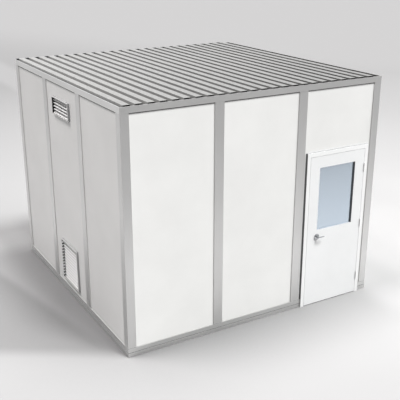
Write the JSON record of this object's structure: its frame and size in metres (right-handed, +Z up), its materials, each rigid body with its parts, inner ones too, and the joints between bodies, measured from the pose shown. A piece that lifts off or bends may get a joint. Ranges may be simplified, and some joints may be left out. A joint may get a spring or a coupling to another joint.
{
  "type": "modular cleanroom",
  "caption": "Free-standing square modular room of white wall panels in grooved aluminium posts, with a windowed door, a wall louvre, a return-air grille and a corrugated metal deck roof.",
  "frame": {"origin": "middle of the footprint on the floor, with the door hardware counted in", "axes": "+X to the right along the front, +Y from the front to the back, +Z up"},
  "size_m": [3.7946, 3.8496, 3.1191],
  "materials": {
    "rail_aluminium": "satin anodised",
    "post_aluminium": "satin anodised",
    "white_panel": "satin white coat",
    "galvanised_deck": "dull zinc",
    "white_frame": "satin white coat",
    "white_leaf": "satin white coat",
    "window_glass": "clear, faintly blue",
    "hinge_steel": "satin",
    "satin_steel": "satin",
    "louvre_blade": "satin",
    "louvre_rim": "satin"
  },
  "bodies": {
    "shell": {"floor_track_front": "rail_aluminium", "floor_track_left": "rail_aluminium", "floor_track_right": "rail_aluminium", "floor_track_back": "rail_aluminium", "base_rails_front": "rail_aluminium", "base_rails_left": "rail_aluminium", "base_rails_right": "rail_aluminium", "base_rails_back": "rail_aluminium", "corner_post_front_left": "post_aluminium", "corner_post_front_right": "post_aluminium", "corner_post_back_left": "post_aluminium", "corner_post_back_right": "post_aluminium", "posts_front": "post_aluminium", "posts_left": "post_aluminium", "posts_right": "post_aluminium", "posts_back": "post_aluminium", "front_panels": "white_panel", "door_header_panel": "white_panel", "door_side_panels": "white_panel", "left_plain_panels": "white_panel", "left_vent_panel": "white_panel", "right_panels": "white_panel", "back_panels": "white_panel", "head_rail_front": "rail_aluminium", "head_rail_left": "rail_aluminium", "head_rail_right": "rail_aluminium", "head_rail_back": "rail_aluminium", "roof_sheet_1": "galvanised_deck", "roof_sheet_2": "galvanised_deck", "roof_sheet_3": "galvanised_deck", "roof_sheet_4": "galvanised_deck", "roof_side_closure": "galvanised_deck", "door_jamb_latch": "white_frame", "door_jamb_hinge": "white_frame", "door_frame_head": "white_frame", "hinge_frame_leaves": "hinge_steel", "hinge_pins": "hinge_steel", "louvre_frame": "louvre_rim", "louvre_blades": "louvre_blade", "return_grille_frame": "louvre_rim", "return_grille_blades": "louvre_blade"},
    "door": {"door_leaf": "white_leaf", "door_glass": "window_glass", "glazing_bead": "white_frame", "hinge_door_leaves": "hinge_steel", "lever_roses": "satin_steel"},
    "lever": {"door_lever": "satin_steel"}
  },
  "joints": [
    {"name": "door_swing", "type": "hinge", "parent": "shell", "child": "door", "pos_m": [1.6831, -1.8788, 1.077], "axis": [0, 0, 1], "range_deg": [0, 175]},
    {"name": "lever_turn", "type": "hinge", "parent": "door", "child": "lever", "pos_m": [0.9266, -1.8483, 1.014], "axis": [0, 1, 0], "range_deg": [0, 45], "stiffness_Nm_per_rad": 2, "springref_deg": -20.05}
  ]
}
